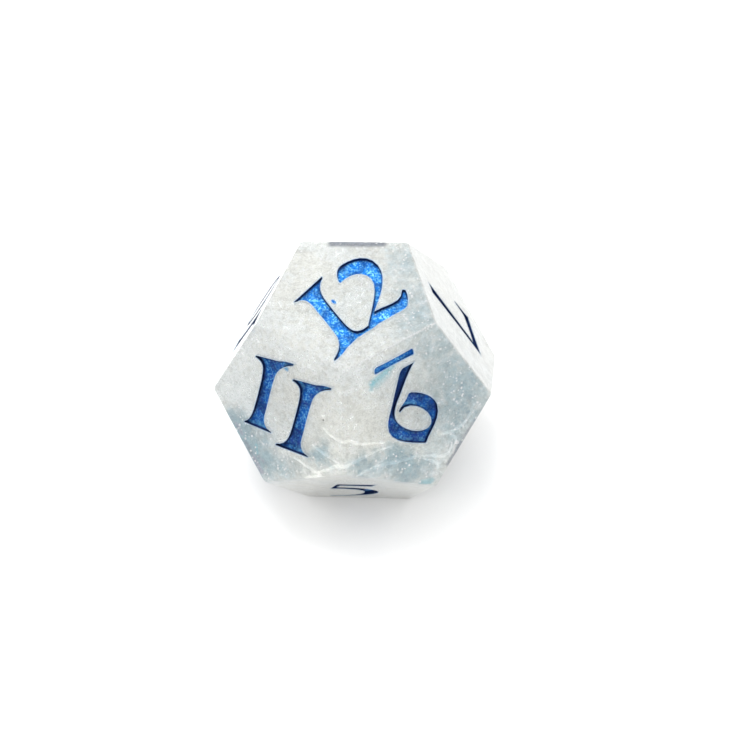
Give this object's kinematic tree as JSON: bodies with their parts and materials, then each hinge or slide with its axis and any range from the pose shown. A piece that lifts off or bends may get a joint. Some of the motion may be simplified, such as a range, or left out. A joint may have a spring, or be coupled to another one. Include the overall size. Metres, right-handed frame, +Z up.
{
  "type": "twelve-sided gaming die",
  "caption": "Dodecahedral gaming die with sharp edges, cast in cloudy clear resin, with engraved numerals lined in metallic blue paint.",
  "frame": {"origin": "centre of the resting face, face 1, at the bottom of the die", "axes": "+Z up through the middle of face 12; -Y towards the reader, between faces 11 and 9; +X to the right"},
  "size_m": [0.0222, 0.0234, 0.019],
  "materials": {
    "cloudy_resin": "polished cast resin, milky and half clear, with pale blue-grey clouds and fine mica",
    "metallic_paint": "dried metallic blue paint, slightly rough, bright on the floors and dark on the walls"
  },
  "bodies": {
    "root": {"resin_body": "cloudy_resin", "paint_1": "metallic_paint", "paint_2": "metallic_paint", "paint_3": "metallic_paint", "paint_4": "metallic_paint", "paint_5": "metallic_paint", "paint_6": "metallic_paint", "paint_6_bar": "metallic_paint", "paint_7": "metallic_paint", "paint_8": "metallic_paint", "paint_9": "metallic_paint", "paint_9_bar": "metallic_paint", "paint_10_one": "metallic_paint", "paint_10_zero": "metallic_paint", "paint_11_first": "metallic_paint", "paint_11_second": "metallic_paint", "paint_12": "metallic_paint", "paint_pinhole": "metallic_paint"}
  },
  "joints": []
}
